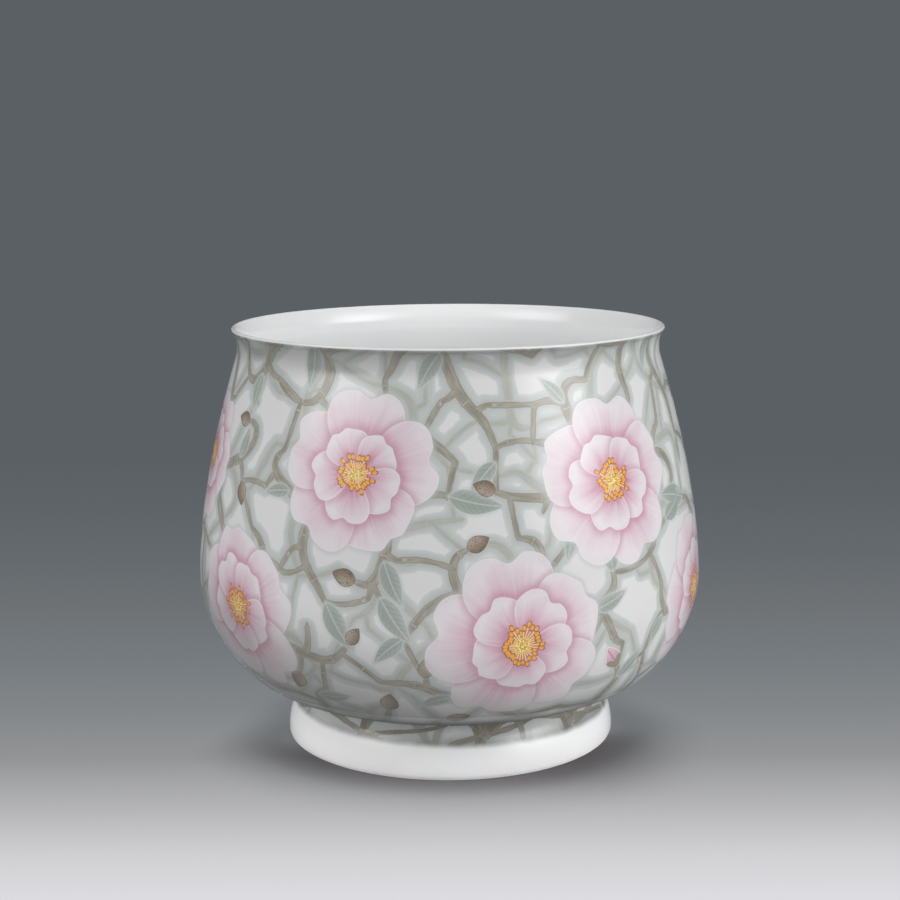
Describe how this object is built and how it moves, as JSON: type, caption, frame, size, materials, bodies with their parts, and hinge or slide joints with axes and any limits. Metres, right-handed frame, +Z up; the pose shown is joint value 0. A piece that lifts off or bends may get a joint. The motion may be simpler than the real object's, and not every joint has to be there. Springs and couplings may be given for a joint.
{
  "type": "footed porcelain bowl",
  "caption": "Deep round bowl with a drawn-in neck, a small flared lip and a flared foot ring, glazed in and out, for holding a plant, fish or cut flowers.",
  "frame": {"origin": "middle of the standing edge, on the surface that the bowl stands on", "axes": "+Z up along the bowl's axis of revolution; +X and +Y are level and the form is the same all round; the render's front looks towards +Y"},
  "size_m": [0.2426, 0.2426, 0.2],
  "materials": {
    "biscuit": "fired bare porcelain, fine and dry",
    "slip": "fired porcelain slip",
    "white_glaze": "clear gloss over white porcelain",
    "painted_glaze": "clear gloss over painted pale grey-green ground"
  },
  "bodies": {
    "root": {"bowl_body": "biscuit", "foot_ring": "biscuit", "luting_slip": "slip", "outside_glaze": "painted_glaze", "inside_glaze": "white_glaze", "foot_glaze": "white_glaze", "base_glaze": "white_glaze"}
  },
  "joints": []
}
